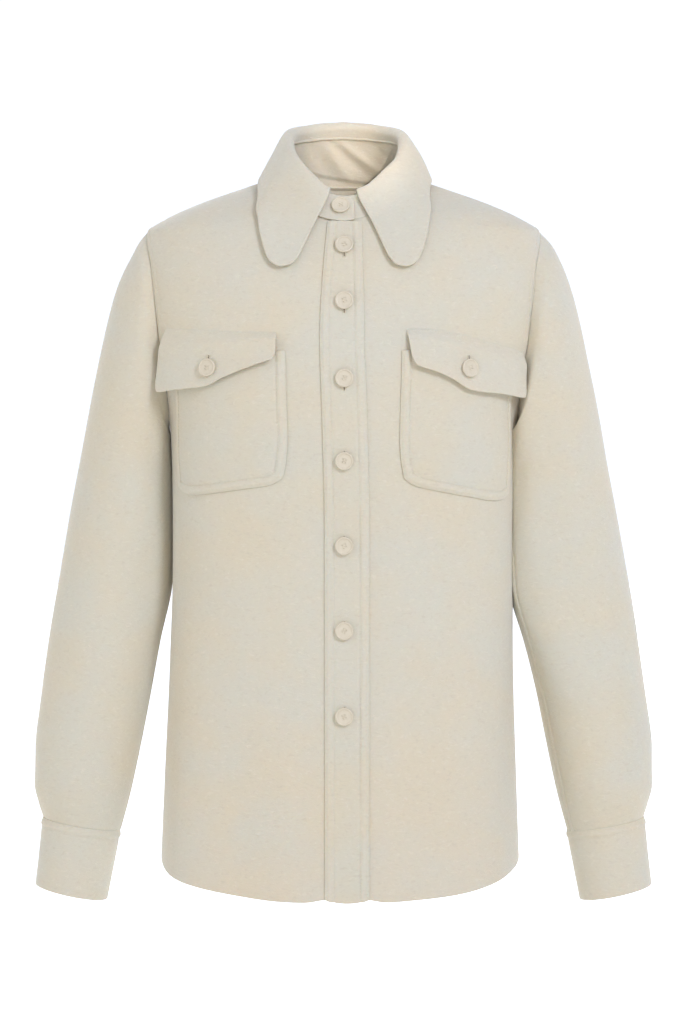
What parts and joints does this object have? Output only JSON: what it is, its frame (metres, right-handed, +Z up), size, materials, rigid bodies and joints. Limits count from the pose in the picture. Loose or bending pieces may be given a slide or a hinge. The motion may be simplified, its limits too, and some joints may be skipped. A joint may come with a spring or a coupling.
{
  "type": "shirt",
  "caption": "Cream felted-wool overshirt with a rounded collar, buttoned placket, flapped chest pockets, cuffed sleeves and a shirt-tail hem, filled out as worn.",
  "frame": {"origin": "midway between the two points where the collar meets the shoulder seams, where a wearer carries the shirt", "axes": "+Z up, front faces -Y, +X towards the wearer's left"},
  "size_m": [0.6178, 0.2379, 0.7794],
  "materials": {
    "cream_felted_wool": "felted, matt, with a soft nap",
    "cream_button": "satin"
  },
  "bodies": {
    "root": {"front_left": "cream_felted_wool", "front_right": "cream_felted_wool", "back": "cream_felted_wool", "placket": "cream_felted_wool", "collar_stand": "cream_felted_wool", "collar": "cream_felted_wool", "sleeve_left": "cream_felted_wool", "sleeve_right": "cream_felted_wool", "cuff_left": "cream_felted_wool", "cuff_right": "cream_felted_wool", "pocket_left": "cream_felted_wool", "pocket_right": "cream_felted_wool", "pocket_flap_left": "cream_felted_wool", "pocket_flap_right": "cream_felted_wool", "button_collar": "cream_button", "button_placket_1": "cream_button", "button_placket_2": "cream_button", "button_placket_3": "cream_button", "button_placket_4": "cream_button", "button_placket_5": "cream_button", "button_placket_6": "cream_button", "button_placket_7": "cream_button", "button_flap_left": "cream_button", "button_flap_right": "cream_button", "button_cuff_left": "cream_button", "button_cuff_right": "cream_button"}
  },
  "joints": []
}
